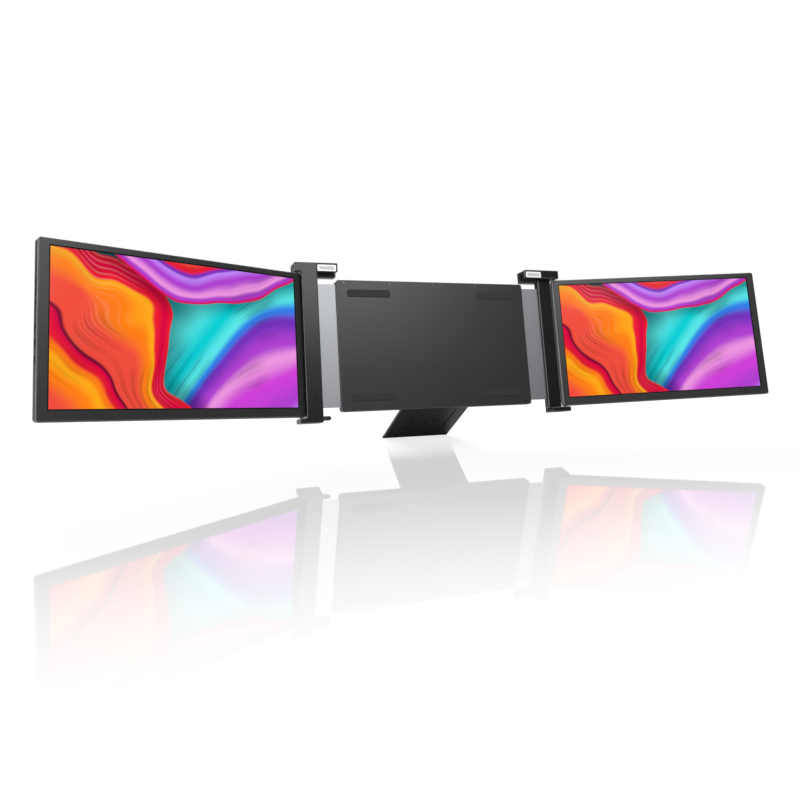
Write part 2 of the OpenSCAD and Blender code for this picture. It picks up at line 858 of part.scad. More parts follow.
// Two rows of slots along the top of the rear cover
module vents() {
    slot_w = 2;
    slot_h = 9;
    pitch = 5;
    count = 14;
    mid_x = (view_x0 + view_x1) / 2;
    for (row = [0, 1])
        for (i = [0:count - 1])
            translate([mid_x + (i - (count - 1) / 2) * pitch, 0, view_z1 - 16 - row * 13])
                front_plate(-slot_w / 2, slot_w / 2, inside_y1 - cut, back_y + cut, -slot_h / 2,
                    slot_h / 2, slot_w / 2 - 0.01);
}

module display_panel() {
    color([0.05, 0.05, 0.06])
        window(glass_lap, glass_y0, tray_y0);
}

module backlight_tray() {
    rib_t = 0.5;
    color(steel)
        union() {
            window(glass_lap, tray_y0, tray_y1);
            for (i = [1:3])
                box(view_x0 + 20, board_x0 - 30, tray_y1 - 0.5, tray_y1 + rib_t,
                    view_z0 + i * view_h / 4 - 3, view_z0 + i * view_h / 4 + 3);
        }
}

module driver_board() {
    chip_t = 0.8;
    color(board_green)
        union() {
            box(board_x0, board_x1, board_y0, board_y1, board_z0, board_z1);
            // chips
            box(board_x0 + 12, board_x0 + 24, board_y1 - 0.2, board_y1 + chip_t, port_z - 6, port_z + 6);
            box(board_x0 + 12, board_x0 + 20, board_y1 - 0.2, board_y1 + chip_t, up_z - 4, up_z + 4);
            box(board_x0 + 10, board_x0 + 26, board_y1 - 0.2, board_y1 + chip_t, port_z - 34, port_z - 26);
            // one switch behind each button
            for (z = [power_z, up_z, down_z]) {
                box(plunger_x1 - 4.4, plunger_x1 - 1, button_y - 1.4, board_y0 + 0.2, z - 2.5, z + 2.5);
                rod_x(plunger_x1 - 1.2, plunger_x1, button_y, z, 0.9);
            }
        }
}

module flat_cable() {
    strip_t = 0.2;
    x0 = board_x0 - 20;
    color([0.75, 0.45, 0.1])
        translate([0, 0, port_z + 2])
            linear_extrude(18)
                polygon([
                    [x0, tray_y1], [x0 + 10, tray_y1], [board_x0, board_y0 - strip_t],
                    [board_x0 + 8, board_y0 - strip_t],
                    [board_x0 + 8, board_y0], [board_x0 - 0.1, board_y0],
                    [x0 + 9.9, tray_y1 + strip_t], [x0, tray_y1 + strip_t]
                ]);
}

module port_form(i, grow, x0, x1) {
    z = port_z - i * port_pitch;
    long_bar(x0, x1, port_y - port_t / 2 - grow, port_y + port_t / 2 + grow,
        z - port_w / 2 - grow, z + port_w / 2 + grow, port_t / 2 + grow - 0.01);
}

module ports() {
    color(steel)
        for (i = [0:2]) {
            z = port_z - i * port_pitch;
            union() {
                difference() {
                    port_form(i, 0, port_x1 - port_l, port_x1);
                    port_form(i, -port_wall, port_x1 - port_l + 1, port_x1 + cut);
                }
                box(port_x1 - port_l + 0.5, port_x1 - 0.8, port_y - 0.35, port_y + 0.35, z - 2.6, z + 2.6);
            }
        }
}

module button_hole(z) {
    f = button_fit;
    long_bar(outer_wall_x - cut, edge_x1 + cut, button_y - button_t / 2 - f, button_y + button_t / 2 + f,
        z - button_w / 2 - f, z + button_w / 2 + f, button_t / 2 + f - 0.01);
}

module button(z) {
    edge = 0.7;
    color(soft_black)
        union() {
            long_bar(flange_x0, edge_x1 + button_proud, button_y - button_t / 2, button_y + button_t / 2,
                z - button_w / 2, z + button_w / 2, button_t / 2 - 0.01);
            long_bar(flange_x0, flange_x1, button_y - button_t / 2 - edge,
                button_y + button_t / 2 + edge - 0.1,
                z - button_w / 2 - edge, z + button_w / 2 + edge, button_t / 2);
        }
}

// A steel block that takes the hinge pin, with a leaf that lies on the rear cover's back
module hinge_block(z0) {
    z1 = z0 + block_h;
    clear_x = view_x0 - glass_lap - 0.4;
    difference() {
        intersection() {
            // the room at the screen's round edge
            union() {
                rod_z(0, 0, z0, z1, round_r - end_wall - gap);
                box(0, block_leaf_w, face_y, back_y, z0, z1);
            }
            // the block round the pin and its leaf
            union() {
                box(edge_x0, clear_x, split_y + gap, inside_y1, z0, z1);
                box(0, block_leaf_w, tray_y1 + 0.6, inside_y1, z0, z1);
            }
        }
        rod_z(0, 0, z0 - cut, z1 + cut, pin_r + run_gap);
    }
}

module hinge_blocks() {
    color(steel) {
        hinge_block(screen_z1 - side_wall - gap - block_h);
        hinge_block(screen_z0 + side_wall + gap);
    }
}

module hinge_washers() {
    color(plate_silver)
        difference() {
            union() {
                rod_z(0, 0, screen_z1, screen_z1 + washer_top_t, washer_r);
                rod_z(0, 0, screen_z0 - washer_bottom_t, screen_z0, washer_r);
            }
            rod_z(0, 0, screen_z0 - 2, screen_z1 + 2, pin_r + run_gap);
        }
}

module screen_screws() {
    color(steel)
        for (p = screw_posts)
            back_screw(p[0], p[1], split_y + 1, back_y - 0.1, screw_r, screw_head_r, screw_head_h);
}

// ---- Nodes ----

leaned() hub_shell();
leaned() hub_cover();
leaned() guide_rails();
leaned() slide_springs();
leaned() lid_pads();
leaned() hub_screws();
kickstand_leg();
kickstand_foot();
kickstand_pin();
on_side(-1) bracket_shell(left_set_back, left_hook_rise);  // bracket_shell_left
on_side(1) bracket_shell(right_set_back, right_hook_rise);  // bracket_shell_right
on_side(-1) bracket_cover();  // bracket_cover_left
on_side(1) bracket_cover();  // bracket_cover_right
on_side(-1) slide_plate();  // slide_plate_left
on_side(1) slide_plate();  // slide_plate_right
on_side(-1) clip_trim();  // clip_trim_left
on_side(1) clip_trim();  // clip_trim_right
on_side(-1) clip_plate();  // clip_plate_left
on_side(1) clip_plate();  // clip_plate_right
on_side(-1) lid_grips(left_hook_rise);  // lid_grips_left
on_side(1) lid_grips(right_hook_rise);  // lid_grips_right
on_side(-1) bottom_hook(left_hook_rise);  // bottom_hook_left
on_side(1) bottom_hook(right_hook_rise);  // bottom_hook_right
on_side(-1) bracket_screws(left_set_back);  // bracket_screws_left
on_side(1) bracket_screws(right_set_back);  // bracket_screws_right
on_side(-1) top_pin();  // top_pin_left
on_side(1) top_pin();  // top_pin_right
on_side(-1) bottom_pin();  // bottom_pin_left
on_side(1) bottom_pin();  // bottom_pin_right
on_screen(-1) hinge_washers();  // hinge_washers_left
on_screen(1) hinge_washers();  // hinge_washers_right
on_screen(-1) hinge_blocks();  // hinge_blocks_left
on_screen(1) hinge_blocks();  // hinge_blocks_right
on_screen(-1) bezel();  // bezel_left
on_screen(1) bezel();  // bezel_right
on_screen(-1) rear_cover();  // rear_cover_left
on_screen(1) rear_cover();  // rear_cover_right
on_screen(-1) display_panel();  // display_panel_left
on_screen(1) display_panel();  // display_panel_right
on_screen(-1) backlight_tray();  // backlight_tray_left
on_screen(1) backlight_tray();  // backlight_tray_right
on_screen(-1) driver_board();  // driver_board_left
on_screen(1) driver_board();  // driver_board_right
on_screen(-1) flat_cable();  // flat_cable_left
on_screen(1) flat_cable();  // flat_cable_right
on_screen(-1) ports();  // ports_left
on_screen(1) ports();  // ports_right
on_screen(-1) screen_screws();  // screen_screws_left
on_screen(1) screen_screws();  // screen_screws_right
on_screen(-1) button(power_z);  // power_button_left
on_screen(1) button(power_z);  // power_button_right
on_screen(-1) button(up_z);  // up_button_left
on_screen(1) button(up_z);  // up_button_right
on_screen(-1) button(down_z);  // down_button_left
on_screen(1) button(down_z);  // down_button_right
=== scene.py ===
"""Looks of a laptop screen extender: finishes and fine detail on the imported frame, in metres."""

import json
import math

import bpy
import numpy as np
from mathutils import Matrix, Vector


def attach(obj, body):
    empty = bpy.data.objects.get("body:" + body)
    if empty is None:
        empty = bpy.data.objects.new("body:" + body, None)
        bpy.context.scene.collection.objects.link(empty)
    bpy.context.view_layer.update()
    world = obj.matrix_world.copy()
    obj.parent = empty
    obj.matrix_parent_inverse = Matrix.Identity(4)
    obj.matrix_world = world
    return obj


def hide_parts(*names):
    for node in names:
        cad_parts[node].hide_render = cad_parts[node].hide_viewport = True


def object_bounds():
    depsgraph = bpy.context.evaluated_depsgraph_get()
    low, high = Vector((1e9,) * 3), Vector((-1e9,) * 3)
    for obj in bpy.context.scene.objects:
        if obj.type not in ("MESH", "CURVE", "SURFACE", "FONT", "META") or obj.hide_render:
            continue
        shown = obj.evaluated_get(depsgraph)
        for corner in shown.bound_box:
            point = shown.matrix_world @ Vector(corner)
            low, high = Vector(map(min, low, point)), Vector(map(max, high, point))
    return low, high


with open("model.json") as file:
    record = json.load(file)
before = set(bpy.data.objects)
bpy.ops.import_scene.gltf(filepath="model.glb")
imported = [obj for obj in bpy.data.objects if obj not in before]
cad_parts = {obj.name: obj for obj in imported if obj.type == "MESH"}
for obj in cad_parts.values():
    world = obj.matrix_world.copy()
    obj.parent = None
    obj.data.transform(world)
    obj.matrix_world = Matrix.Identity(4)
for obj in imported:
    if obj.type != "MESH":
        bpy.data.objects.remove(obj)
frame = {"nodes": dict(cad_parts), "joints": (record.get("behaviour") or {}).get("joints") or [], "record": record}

cad_box = [list(corner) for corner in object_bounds()]
MM = 0.001
SIDES = ("left", "right")
joints = {joint["name"]: joint for joint in frame["joints"]}
mounts = {mount["name"]: mount for mount in frame["record"]["mounts"]}


# ---- Places: local axes of the lid, of each screen and of the kickstand, from the joints ----


class Place:
    """Local axes: across runs to the user's right, back away from the user, up along the piece."""

    def __init__(self, origin, across, up):
        self.origin = np.array(origin, float)
        self.across = np.array(across, float)
        self.up = np.array(up, float)
        self.back = np.cross(self.up, self.across)
        self.axes = np.array([self.across, self.back, self.up])

    def to_row(self, points):
        """Local points, one a row, as points of the row frame."""
        return np.asarray(points, float) @ self.axes + self.origin

    def points(self, node):
        """The vertices of a CAD node as local points, one a row."""
        mesh = frame["nodes"][node].data
        points = np.empty(len(mesh.vertices) * 3)
        mesh.vertices.foreach_get("co", points)
        return (points.reshape(-1, 3) - self.origin) @ self.axes.T

    def span(self, node):
        """Lowest and highest local corner of a CAD node."""
        points = self.points(node)
        return points.min(0), points.max(0)

    def matrix(self):
        """The place as a 4 x 4 matrix, for a Mapping node."""
        turned = Matrix(self.axes.T.tolist()).to_4x4()
        turned.translation = Vector(self.origin)
        return turned


lid_up = joints["screen_fold_left"]["axis"]
lid = Place((0, 0, 0), (1, 0, 0), lid_up)


def screen_place(side):
    """A screen's axes: up is the fold axis, and outwards is opposite to a button's press."""
    outward = -np.array(joints[f"power_button_press_{side}"]["axis"])
    across = outward if side == "right" else -outward
    return Place(joints[f"screen_fold_{side}"]["pos_m"], across, lid_up)


screens = {side: screen_place(side) for side in SIDES}
stand_pin = np.array(joints["kickstand_fold"]["pos_m"])
leg = stand_pin - np.array(mounts["foot_sole"]["pos_m"])
stand = Place(stand_pin, (1, 0, 0), leg / np.linalg.norm(leg))


# ---- Surfaces: grids of points made as whole arrays ----

CORNER_STEPS = 8  # points on each rounded corner of an outline
EDGE_STEPS = 6  # rows on the rounded edge of a plate
LIP_ROWS = 26
LIP_STEPS = 22  # points over a lip, from front to back
LIP_SUNK = 0.1  # depth of a lip's base under the wall, as a share of its height
PAD_ROWS = 20
RIB_STEPS = 6  # points over each rib of a pad


def outline(x0, x1, z0, z1, corner, inset):
    """A rounded rectangle, one row of points for each inset, counted anticlockwise from the right.

    A point is its corner's centre plus (corner - inset) times (cos, sin) of its angle. Where the
    inset is larger than the corner, the centre itself moves inwards by the rest.
    """
    inset = inset[:, None]
    quarter = np.linspace(0, math.pi / 2, CORNER_STEPS)
    angle = np.concatenate([quarter + k * math.pi / 2 for k in range(4)])[None, :]
    right = np.repeat([1, -1, -1, 1], CORNER_STEPS)[None, :]
    top = np.repeat([1, 1, -1, -1], CORNER_STEPS)[None, :]
    reach = np.maximum(corner - inset, 0)
    further = np.maximum(inset - corner, 0)
    half_w, half_h = (x1 - x0) / 2 - corner, (z1 - z0) / 2 - corner
    x = (x0 + x1) / 2 + right * (half_w - further) + reach * np.cos(angle)
    z = (z0 + z1) / 2 + top * (half_h - further) + reach * np.sin(angle)
    return x, z


def quads(rows, columns, wrap_rows, wrap_columns):
    """The four-sided faces of a grid of points, closed on itself where asked."""
    index = np.arange(rows * columns).reshape(rows, columns)
    if wrap_rows:
        index = np.vstack([index, index[:1]])
    if wrap_columns:
        index = np.hstack([index, index[:, :1]])
    corners = [index[:-1, :-1], index[:-1, 1:], index[1:, 1:], index[1:, :-1]]
    return np.stack(corners, -1).reshape(-1, 4)


def add_piece(name, place, points, faces, body, slot, material):
    """A closed mesh in local metres becomes a piece on a body; its volume says which way is out."""
    triangles = np.vstack([f[:, [0, k, k + 1]] for f in faces for k in range(1, f.shape[1] - 1)])
    a, b, c = (points[triangles[:, k]] for k in range(3))
    if np.einsum("ij,ij->i", a, np.cross(b, c)).sum() * np.linalg.det(place.axes) < 0:
        faces = [f[:, ::-1] for f in faces]
    mesh = bpy.data.meshes.new(name)
    mesh.from_pydata(place.to_row(points).tolist(), [], [row for f in faces for row in f.tolist()])
    mesh.polygons.foreach_set("use_smooth", [True] * len(mesh.polygons))
    mesh.update()
    piece = bpy.data.objects.new(name, mesh)
    bpy.context.scene.collection.objects.link(piece)
    mesh.materials.append(material)
    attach(piece, body)
    return piece


def loop_piece(name, place, box, corner, profile, **rest):
    """A bead that runs round a rounded rectangle.

    The profile is a closed loop of (inset, back) pairs. Each pair is carried round the outline at
    that inset, at that distance back.
    """
    x, z = outline(*box, corner, profile[:, 0])
    y = np.repeat(profile[:, 1:2], x.shape[1], 1)
    points = np.stack([x, y, z], -1)
    faces = [quads(*x.shape, True, True)]
    return add_piece(name, place, points.reshape(-1, 3), faces, **rest)


def loft(grid, first_pole, last_pole):
    """A closed body from rows of points: each row is a loop, and a fan to a pole closes either end.

    The result is its points and its faces.
    """
    rows, columns = grid.shape[:2]
    points = np.vstack([grid.reshape(-1, 3), first_pole, last_pole])
    first = np.arange(columns)
    last = first + (rows - 1) * columns
    poles = np.full((2, columns), rows * columns) + [[0], [1]]
    first_fan = np.stack([poles[0], np.roll(first, -1), first], -1)
    last_fan = np.stack([poles[1], last, np.roll(last, -1)], -1)
    return points, [quads(rows, columns, False, True), first_fan, last_fan]


def slab_piece(name, place, box, corner, front, base, edge, **rest):
    """A thin plate with a rounded front edge.

    The outline starts half an edge inwards at the base, and reaches its full size a tenth of the
    thickness further on. In front it goes round a quarter circle: at angle t its inset is
    edge (1 - cos t), and it stands edge sin t nearer the front. Both faces end in a fan.
    """
    t = np.linspace(0, math.pi / 2, EDGE_STEPS)
    full_size = base - 0.1 * (base - front)
    flat_face = 1.6 * edge
    inset = np.concatenate([[0.5 * edge, 0], edge * (1 - np.cos(t)), [flat_face]])
    back = np.concatenate([[base, full_size], front + edge * (1 - np.sin(t)), [front]])
    x, z = outline(*box, corner, inset)
    y = np.repeat(back[:, None], x.shape[1], 1)
    middle = np.array([(box[0] + box[1]) / 2, 0, (box[2] + box[3]) / 2])
    body = loft(np.stack([x, y, z], -1), middle + [0, base, 0], middle + [0, front, 0])
    return add_piece(name, place, *body, **rest)


def lip_piece(name, sign, wall, flat, corner, reach, height, ends, **rest):
    """A soft dark lip on the side wall of a beam, which may begin on the rounding of its front corner.
    It seals the gap to the screen, and its dark rubber stands in there as painted shade.

    s runs along the wall from reach[0] to reach[1]. Below 0 it is on the rounding, where the point
    turns about the corner's centre by -s / corner, and above 0 it goes straight back from flat. The
    lip stands height (1 - r^4) (1 - w^24) off the wall, where r and w run from -1 to 1 over s and
    along the beam. A sheet sunk just under the wall closes it.
    """
    r = np.linspace(-1, 1, LIP_STEPS)
    w = np.sin(np.linspace(-math.pi / 2, math.pi / 2, LIP_ROWS))[:, None]
    s = reach[0] + (reach[1] - reach[0]) * (r + 1) / 2
    turned = np.maximum(-s, 0) / corner
    normal = np.stack([sign * np.cos(turned), -np.sin(turned)], -1)
    centre = np.array([sign * (wall - corner), flat])
    surface = centre + corner * normal + np.stack([0 * s, np.maximum(s, 0)], -1)
    rise = height * (1 - r ** 4) * (1 - w ** 24)
    outer = surface + normal * rise[..., None]
    inner = np.broadcast_to(surface - LIP_SUNK * height * normal, outer.shape)
    loops = np.concatenate([outer, inner[:, ::-1]], 1)
    z = np.broadcast_to((ends[0] + ends[1]) / 2 + (ends[1] - ends[0]) / 2 * w, loops.shape[:2])
    grid = np.concatenate([loops, z[..., None]], -1)
    return add_piece(name, lid, *loft(grid, grid[0].mean(0), grid[-1].mean(0)), **rest)


def ribbed_pad(box, corner, front, base, pitch, depth):
    """Points and faces of a soft pad of thickness t, with upright ribs.

    With a across and b up, both from -1 to 1, a row's half width is that of a rounded rectangle,
    w(b), and x = a w(b). The pad stands t (0.4 + 0.6 q) - depth r off its base, where q is a
    quarter round of radius 0.7 t over the distance from the edge, and r is
    (1 - cos(2 pi x / pitch)) / 2, which fades in over four depths from the edge.
    """
    half_w, half_h = (box[1] - box[0]) / 2, (box[3] - box[2]) / 2
    t = base - front
    a = np.linspace(-1, 1, 1 + RIB_STEPS * round(2 * half_w / pitch))[None, :]
    b = np.sin(np.linspace(-math.pi / 2, math.pi / 2, PAD_ROWS))[:, None]
    z = b * half_h
    into = np.maximum(np.abs(z) - (half_h - corner), 0)
    w = half_w - corner + np.sqrt(np.maximum(corner ** 2 - into ** 2, 0))
    x = a * w
    edge = np.minimum(w - np.abs(x), half_h - np.abs(z))
    q = np.sqrt(1 - (1 - np.clip(edge / (0.7 * t), 0, 1)) ** 2)
    r = (1 - np.cos(2 * math.pi * x / pitch)) / 2 * np.clip(edge / (4 * depth), 0, 1)
    rise = t * (0.4 + 0.6 * q) - depth * r
    wide = np.broadcast_to(z, x.shape)
    top = np.stack([x, base - rise, wide], -1)
    under = np.stack([x, np.full_like(x, base), wide], -1)[:, ::-1]
    grid = np.concatenate([top, under], 1) + [(box[0] + box[1]) / 2, 0, (box[2] + box[3]) / 2]
    return loft(grid, grid[0].mean(0), grid[-1].mean(0))


def joined(bodies):
    """Several bodies as one list of points and one of faces."""
    starts = np.cumsum([0] + [len(points) for points, _ in bodies])
    faces = [f + start for (_, group), start in zip(bodies, starts) for f in group]
    return np.vstack([points for points, _ in bodies]), faces


# ---- Nodes of materials and of the world ----

MIX_FACTOR, MIX_FIRST, MIX_SECOND, MIX_RESULT = 0, 6, 7, 2  # a Mix node's sockets for colours
EDGE_EASE = (0.02, 0.16)  # 1 - the normal's largest part, where an edge begins and is full


def math_method(operation, swapped=False):
    """A method of Value that adds a Math node to its tree."""

    def method(self, other=0.0):
        first, second = (other, self) if swapped else (self, other)
        return self.graph.node("ShaderNodeMath", {"operation": operation}, {0: first, 1: second})

    return method


class Value:
    """A shader socket that takes part in sums."""

    def __init__(self, graph, socket):
        self.graph = graph
        self.socket = socket

    __add__ = math_method("ADD")
    __radd__ = math_method("ADD", swapped=True)
    __sub__ = math_method("SUBTRACT")
    __rsub__ = math_method("SUBTRACT", swapped=True)
    __mul__ = math_method("MULTIPLY")
    __rmul__ = math_method("MULTIPLY", swapped=True)
    __truediv__ = math_method("DIVIDE")
    __pow__ = math_method("POWER")
    __gt__ = math_method("GREATER_THAN")
    __lt__ = math_method("LESS_THAN")
    most = math_method("MAXIMUM")
    least = math_method("MINIMUM")
    size = math_method("ABSOLUTE")
    sine = math_method("SINE")

    def ease(self, start, end, low=0.0, high=1.0):
        """Goes smoothly from low to high while this value goes from start to end."""
        limits = {"Value": self, "From Min": start, "From Max": end, "To Min": low, "To Max": high}
        settings = {"interpolation_type": "SMOOTHSTEP"}
        return self.graph.node("ShaderNodeMapRange", settings, limits)


class Graph:
    """Nodes of one material or world."""

    def __init__(self, tree):
        self.tree = tree

    def fill(self, socket, value):
        """Links a Value to a socket, or sets the socket to a plain number or colour."""
        if isinstance(value, Value):
            self.tree.links.new(value.socket, socket)
        else:
            socket.default_value = value

    def node(self, kind, settings=None, inputs=None, output=0):
        """A node of that kind, with its settings made first and then its sockets."""
        made = self.tree.nodes.new(kind)
        for name, setting in (settings or {}).items():
            setattr(made, name, setting)
        for key, value in (inputs or {}).items():
            self.fill(made.inputs[key], value)
        return Value(self, made.outputs[output])

    def coords(self, place=None, scale=(1.0, 1.0, 1.0)):
        """Object coordinates, or a place's own coordinates, stretched by scale."""
        point = self.node("ShaderNodeTexCoord", output="Object")
        if place is not None:
            matrix = place.matrix()
            turned = {"Vector": point, "Location": matrix.translation,
                      "Rotation": matrix.to_euler()}
            point = self.node("ShaderNodeMapping", {"vector_type": "TEXTURE"}, turned)
        if tuple(scale) != (1.0, 1.0, 1.0):
            stretched = {"Vector": point, "Scale": scale}
            point = self.node("ShaderNodeMapping", {"vector_type": "POINT"}, stretched)
        return point

    def parts(self, point):
        """The three numbers of a vector."""
        split = self.node("ShaderNodeSeparateXYZ", None, {0: point})
        return [Value(self, socket) for socket in split.socket.node.outputs]

    def edges(self, place):
        """1 on a rounding between faces square to the place's axes, and 0 on those faces."""
        normal = self.node("ShaderNodeTexCoord", output="Normal")
        product = {"operation": "DOT_PRODUCT"}
        across, back, up = (
            self.node("ShaderNodeVectorMath", product, {0: normal, 1: tuple(axis)}, "Value").size()
            for axis in place.axes)
        return (1 - across.most(back).most(up)).ease(*EDGE_EASE)

    def noise(self, point, scale, detail, roughness=0.5):
        """Cloudy noise of about scale lumps in a unit of the point."""
        inputs = {"Vector": point, "Scale": scale, "Detail": detail, "Roughness": roughness}
        return self.node("ShaderNodeTexNoise", None, inputs)

    def ramp(self, value, *stops):
        """A colour ramp through (position, colour) stops."""
        made = self.node("ShaderNodeValToRGB", None, {0: value})
        ramp = made.socket.node.color_ramp
        ramp.interpolation = "EASE"
        while len(ramp.elements) < len(stops):
            ramp.elements.new(0.5)
        for element, (position, colour) in zip(ramp.elements, stops):
            element.position = position
            element.color = (*colour, 1.0)
        return made

    def mix(self, factor, first, second):
        """A colour between two colours, each a Value or three numbers."""
        first, second = (c if isinstance(c, Value) else (*c, 1.0) for c in (first, second))
        inputs = {MIX_FACTOR: factor, MIX_FIRST: first, MIX_SECOND: second}
        return self.node("ShaderNodeMix", {"data_type": "RGBA"}, inputs, MIX_RESULT)

    def blend(self, factor, first, second):
        """A shader between two shaders."""
        return self.node("ShaderNodeMixShader", None, {0: factor, 1: first, 2: second})

    def glow(self, strength):
        """A shader that only gives off white light."""
        inputs = {"Color": (1, 1, 1, 1), "Strength": strength}
        return self.node("ShaderNodeEmission", None, inputs)

    def ray(self, kind):
        """1 for light paths of that kind, and 0 for others."""
        return self.node("ShaderNodeLightPath", output=f"Is {kind} Ray")

    def seen(self):
        """1 for what the camera sees, directly or through glass, and 0 for other light paths."""
        return self.ray("Camera").most(self.ray("Transmission"))


class Finish(Graph):
    """One material: a Principled surface, and the nodes that vary it."""

    def __init__(self, name, colour, **plain):
        self.material = bpy.data.materials.new(name)
        self.material.use_nodes = True
        super().__init__(self.material.node_tree)
        self.surface = self.tree.nodes["Principled BSDF"]
        self.set("Base Color", (*colour, 1.0))
        for socket, number in plain.items():
            self.set(socket.replace("_", " ").title(), number)

    def set(self, socket, value):
        """A number, colour or Value for a socket of the surface."""
        self.fill(self.surface.inputs[socket], value)

    def bump(self, height, strength, distance):
        """Bumps where height varies; distance is how far they stand out at height 1."""
        inputs = {"Strength": strength, "Distance": distance, "Height": height}
        self.set("Normal", self.node("ShaderNodeBump", None, inputs))


# ---- Finishes ----


def tinted(colour, factor):
    """A colour made lighter or darker, at most white."""
    return tuple(min(1.0, factor * c) for c in colour)


def moulded(name, colour, roughness=0.31, grain=2400, relief=0.10, place=None, wear_and_highlight=0.0):
    """Fine spark-eroded moulding: small bumps, and slow changes of shade and gloss.

    grain is the scale of the bumps and relief their strength. The last argument says how far the
    edges of a piece that lies square to its place are painted paler and glossier: partly edge wear,
    partly a painted highlight line along each rounding.
    """
    finish = Finish(name, colour)
    point = finish.coords(place)
    cloud = finish.noise(point, scale=18, detail=3)
    grains = finish.noise(point, scale=grain, detail=2)
    uneven = 0.65 * cloud + 0.35 * grains
    shade = finish.mix(uneven, tinted(colour, 0.86), tinted(colour, 1.12))
    gloss = roughness + 0.08 * (cloud - 0.5) + 0.10 * (grains - 0.5)
    # Paler, glossier roundings: partly edge wear, partly a painted highlight line where edges catch light.
    if wear_and_highlight:
        edge = finish.edges(place) * (0.5 + cloud)
        worn_highlight_colour = tuple(3.0 * c + 0.10 for c in colour)
        shade = finish.mix(wear_and_highlight * edge, shade, worn_highlight_colour)
        gloss = gloss - 0.10 * edge
    finish.set("Base Color", shade)
    finish.set("Roughness", gloss)
    finish.bump(grains, strength=relief, distance=0.05 * MM)
    return finish.material


def brushed(name, colour, roughness=0.30):
    """Rolled and brushed metal, with streaks that run across."""
    finish = Finish(name, colour, metallic=1.0)
    drawn_out = finish.coords(lid, (1.0, 60.0, 60.0))
    streaks = finish.noise(drawn_out, scale=60, detail=4, roughness=0.6)
    cloud = finish.noise(finish.coords(lid), scale=14, detail=2)
    finish.set("Base Color", finish.mix(streaks, tinted(colour, 0.88), colour))
    finish.set("Roughness", roughness + 0.12 * (streaks - 0.5) + 0.06 * (cloud - 0.5))
    finish.bump(streaks, strength=0.12, distance=0.04 * MM)
    return finish.material


def rubber(name, colour=(0.014, 0.014, 0.015)):
    """Soft rubber: dull, with a fine leathery grain."""
    finish = Finish(name, colour)
    point = finish.coords()
    cells = finish.node("ShaderNodeTexVoronoi", None, {"Vector": point, "Scale": 1400})
    cloud = finish.noise(point, scale=60, detail=3)
    finish.set("Base Color", finish.mix(cloud, colour, tinted(colour, 1.7)))
    finish.set("Roughness", 0.72 + 0.14 * cells)
    finish.bump(cells, strength=0.35, distance=0.1 * MM)
    return finish.material


def circuit_board(name):
    """Green board with a faint weave and copper runs."""
    finish = Finish(name, (0.01, 0.09, 0.04), roughness=0.35)
    runs = {"Vector": finish.coords(lid), "Scale": 160, "Color1": (0.012, 0.12, 0.05, 1),
            "Color2": (0.008, 0.07, 0.035, 1), "Mortar": (0.18, 0.16, 0.05, 1)}
    finish.set("Base Color", finish.node("ShaderNodeTexBrick", None, runs))
    return finish.material


# Colours of the picture on the screens, in linear light
BLACK = (0.0, 0.0, 0.0)
CYAN = (0.0, 0.62, 0.66)
AQUA = (0.10, 0.80, 0.80)
TEAL = (0.0, 0.24, 0.30)
BLUE = (0.03, 0.20, 0.80)
NAVY = (0.02, 0.02, 0.22)
VIOLET = (0.17, 0.03, 0.50)
PURPLE = (0.42, 0.05, 0.62)
MAGENTA = (0.62, 0.05, 0.68)
LILAC = (0.52, 0.22, 0.90)
ROSE = (0.85, 0.30, 0.75)
CRIMSON = (0.70, 0.0, 0.05)
RED = (0.84, 0.01, 0.03)
CORAL = (0.88, 0.075, 0.045)
ORANGE = (1.0, 0.21, 0.006)
AMBER = (1.0, 0.40, 0.008)
WINE = (0.16, 0.0, 0.03)
THREAD = (1.0, 0.80, 0.62)

PANEL = (0.002, 0.002, 0.003)  # colour of a display panel that is off
PANEL_SHINE = 0.08  # how strongly its surface mirrors, where glass has 0.5
PICTURE_BORDER = 0.5 * MM  # dark rim of the panel round the picture
WINDOW_LAP = 2.0 * MM  # how far the panel runs in behind the bezel
HEM = 0.004  # half width of a sheet's hem, in picture heights
HEM_SHADE = 0.16  # width of the shade beside it


